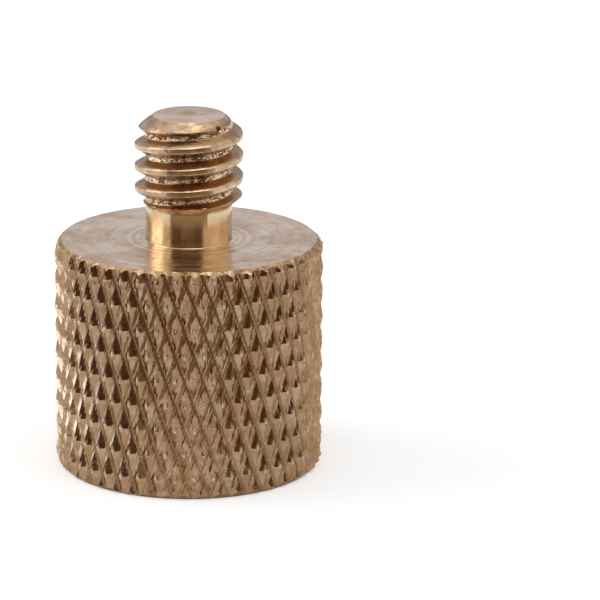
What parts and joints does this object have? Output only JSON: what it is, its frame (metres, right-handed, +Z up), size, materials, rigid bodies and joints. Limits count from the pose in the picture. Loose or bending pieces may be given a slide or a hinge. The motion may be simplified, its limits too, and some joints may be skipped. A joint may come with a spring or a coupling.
{
  "type": "tripod thread adapter",
  "caption": "Short knurled brass grip with a camera stud on top and a larger blind threaded hole underneath, turned from one bar.",
  "frame": {"origin": "centre of the bottom face, at the mouth of the tripod hole", "axes": "+Z up the common axis of the hole, the grip and the stud; -Y is the side the picture shows"},
  "size_m": [0.0158, 0.0158, 0.021],
  "materials": {
    "brass": "machined, slightly tarnished in the knurl"
  },
  "bodies": {
    "root": {"thread_adapter": "brass"}
  },
  "joints": []
}
